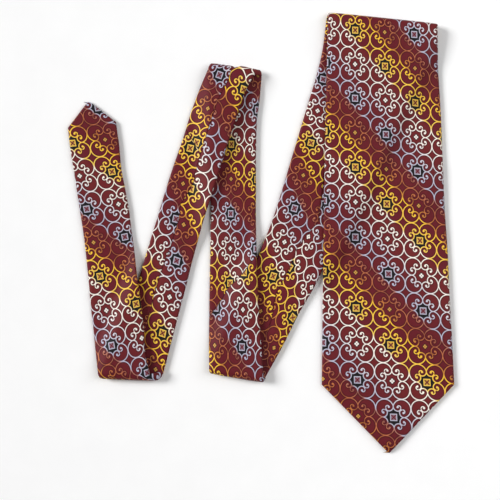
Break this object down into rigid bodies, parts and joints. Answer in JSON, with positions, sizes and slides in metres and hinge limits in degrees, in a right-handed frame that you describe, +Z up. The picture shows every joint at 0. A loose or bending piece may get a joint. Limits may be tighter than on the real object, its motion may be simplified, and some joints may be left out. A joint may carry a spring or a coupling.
{
  "type": "necktie",
  "caption": "Wide lined necktie of silk-like jacquard with a woven scroll pattern, lying folded in a zigzag; each fold opens flat. Pointed ends, keeper loop, tippings.",
  "frame": {"origin": "on the table, under the middle of the folded tie's outline", "axes": "+X to the right and +Y up the page with the tie seen from above, the blade's point towards -Y; +Z up from the table"},
  "size_m": [0.3182, 0.3608, 0.0094],
  "materials": {
    "silk": "woven burgundy jacquard, taken to be silk, with gold, cream, silver-blue and copper scrolls",
    "interlining": "brushed wool canvas",
    "tipping": "plain satin lining",
    "thread": "matt twisted thread"
  },
  "bodies": {
    "upper_blade": {"upper_blade_shell": "silk", "upper_blade_interlining": "interlining", "upper_blade_slip_stitch": "thread", "blade_fold": "silk", "neck_fold": "silk"},
    "blade_end": {"blade_end_shell": "silk", "blade_end_interlining": "interlining", "blade_tipping": "tipping", "blade_end_slip_stitch": "thread", "blade_bar_tack": "thread", "keeper_loop": "silk", "keeper_loop_tack_left": "thread", "keeper_loop_tack_right": "thread"},
    "neck_run": {"neck_run_blade_panel": "silk", "neck_run_neck_panel": "silk", "neck_run_interlining": "interlining", "neck_run_slip_stitch": "thread", "blade_neck_seam_thread": "thread", "tail_fold": "silk"},
    "tail_run": {"tail_run_neck_panel": "silk", "tail_run_tail_panel": "silk", "tail_run_interlining": "interlining", "tail_run_slip_stitch": "thread", "neck_tail_seam_thread": "thread", "tail_end_fold": "silk"},
    "tail_end": {"tail_end_shell": "silk", "tail_end_interlining": "interlining", "tail_tipping": "tipping", "tail_end_slip_stitch": "thread", "tail_bar_tack": "thread"}
  },
  "joints": [
    {"name": "blade_unfold", "type": "hinge", "parent": "upper_blade", "child": "blade_end", "pos_m": [0.09983, 0.17569, 0.0047], "axis": [-0.9945, 0.1044, 0], "range_deg": [0, 179], "deforming": ["blade_fold"]},
    {"name": "neck_unfold", "type": "hinge", "parent": "upper_blade", "child": "neck_run", "pos_m": [-0.01914, -0.11989, 0.0047], "axis": [0.9842, -0.1772, 0], "range_deg": [0, 179], "deforming": ["neck_fold"]},
    {"name": "tail_unfold", "type": "hinge", "parent": "neck_run", "child": "tail_run", "pos_m": [-0.02071, 0.13489, 0.0047], "axis": [-0.9908, 0.135, 0], "range_deg": [0, 179], "deforming": ["tail_fold"]},
    {"name": "tail_end_unfold", "type": "hinge", "parent": "tail_run", "child": "tail_end", "pos_m": [-0.10824, -0.12136, 0.0047], "axis": [0.9994, -0.0345, 0], "range_deg": [0, 179], "deforming": ["tail_end_fold"]}
  ]
}
